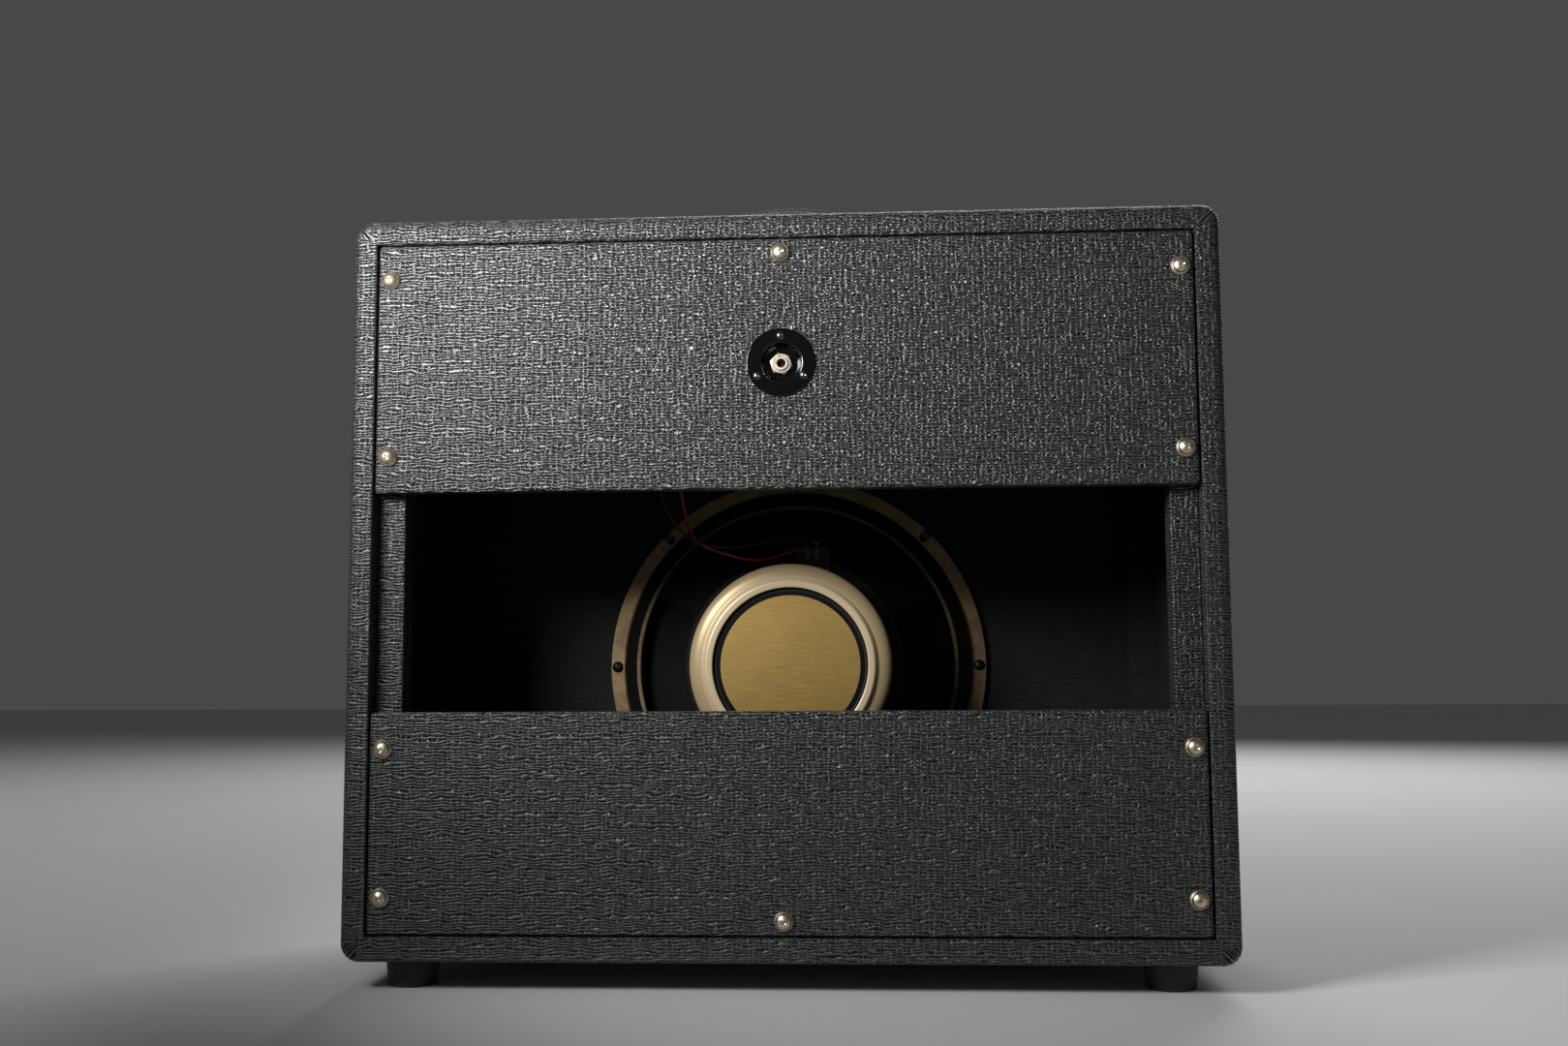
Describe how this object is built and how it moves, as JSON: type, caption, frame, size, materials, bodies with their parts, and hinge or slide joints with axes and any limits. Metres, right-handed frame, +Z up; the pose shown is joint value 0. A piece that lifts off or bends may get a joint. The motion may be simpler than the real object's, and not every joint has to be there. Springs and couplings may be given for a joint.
{
  "type": "guitar speaker cabinet",
  "caption": "Open-back guitar speaker cabinet in black embossed vinyl with split back panels, jack plate, strap handle, rubber feet and a rear-mounted loudspeaker.",
  "frame": {"origin": "on the floor under the middle of the cabinet, at the soles of the feet", "axes": "+X across the cabinet, +Y from the front grille to the open back, +Z up"},
  "size_m": [0.612, 0.2688, 0.5788],
  "materials": {
    "vinyl": "black embossed vinyl, semi-gloss",
    "black_wood": "plywood and softwood painted matt black",
    "nickel": "nickel plate, worn polish",
    "black_plate": "gloss black enamel",
    "zinc": "zinc plated steel",
    "fibre": "brown laminated insulator",
    "spring_bronze": "spring bronze strip",
    "tinned": "tinned metal",
    "grille_fabric": "coarse woven grille cloth",
    "piping": "round vinyl piping",
    "basket_paint": "black painted pressed steel with a bronze lacquered rim",
    "card": "pressed card",
    "cone_paper": "dark felted paper",
    "doped_cloth": "doped cloth",
    "spider_cloth": "resin-set cloth",
    "former_film": "amber film",
    "copper": "enamelled copper wire",
    "steel": "machined steel, passivated",
    "ferrite": "ceramic magnet, dark grey",
    "cream_cover": "moulded cream plastic, satin",
    "gold_label": "gold foil disc with a plain black border, no lettering",
    "red_wire": "red wire insulation",
    "black_wire": "black wire insulation",
    "black_screw": "blackened steel",
    "strap": "black moulded strap",
    "rubber": "black rubber"
  },
  "bodies": {
    "cabinet": {"top_board": "black_wood", "bottom_board": "black_wood", "left_side_board": "black_wood", "right_side_board": "black_wood", "cabinet_covering": "vinyl", "rear_side_cleats": "black_wood", "cleat_coverings": "vinyl", "rear_cross_cleats": "black_wood", "upper_back_panel": "black_wood", "upper_panel_covering": "vinyl", "lower_back_panel": "black_wood", "lower_panel_covering": "vinyl", "cup_washers": "nickel", "back_panel_screws": "nickel", "jack_plate": "black_plate", "jack_plate_screws": "black_screw", "jack_body": "nickel", "jack_washer": "nickel", "jack_nut": "nickel", "jack_insulators": "fibre", "jack_tip_lug": "tinned", "jack_rivet": "tinned", "front_side_battens": "black_wood", "front_cross_battens": "black_wood", "baffle_board": "black_wood", "baffle_screws": "zinc", "grille_frame": "black_wood", "grille_cloth": "grille_fabric", "grille_piping": "piping", "grille_screws": "zinc", "speaker_basket": "basket_paint", "speaker_gasket": "card", "cone_surround": "doped_cloth", "spider": "spider_cloth", "magnet_front_plate": "steel", "magnet_ring": "ferrite", "magnet_back_plate": "steel", "pole_piece": "steel", "magnet_cover": "cream_cover", "magnet_label": "gold_label", "terminal_board": "fibre", "terminal_tags": "tinned", "tinsel_leads": "copper", "speaker_screws": "black_screw", "speaker_tee_nuts": "zinc", "red_lead": "red_wire", "black_lead": "black_wire", "handle_end_caps": "nickel", "handle_screws": "nickel", "feet": "rubber", "foot_washers": "zinc", "foot_screws": "zinc"},
    "cone_assembly": {"speaker_cone": "cone_paper", "dust_cap": "cone_paper", "coil_former": "former_film", "coil_winding": "copper"},
    "handle": {"handle_strap": "strap"},
    "tip_spring": {"jack_tip_spring": "spring_bronze"}
  },
  "joints": [
    {"name": "cone_excursion", "type": "slide", "parent": "cabinet", "child": "cone_assembly", "axis": [0, 1, 0], "range_m": [-0.003, 0.003], "stiffness_N_per_m": 3000, "deforming": ["cone_surround", "spider", "tinsel_leads"]},
    {"name": "handle_lift", "type": "slide", "parent": "cabinet", "child": "handle", "axis": [0, 0, 1], "range_m": [0, 0.006]},
    {"name": "jack_tip_flex", "type": "hinge", "parent": "cabinet", "child": "tip_spring", "pos_m": [0, 0.10845, 0.4431], "axis": [-1, 0, 0], "range_deg": [0, 8], "stiffness_Nm_per_rad": 0.2}
  ]
}
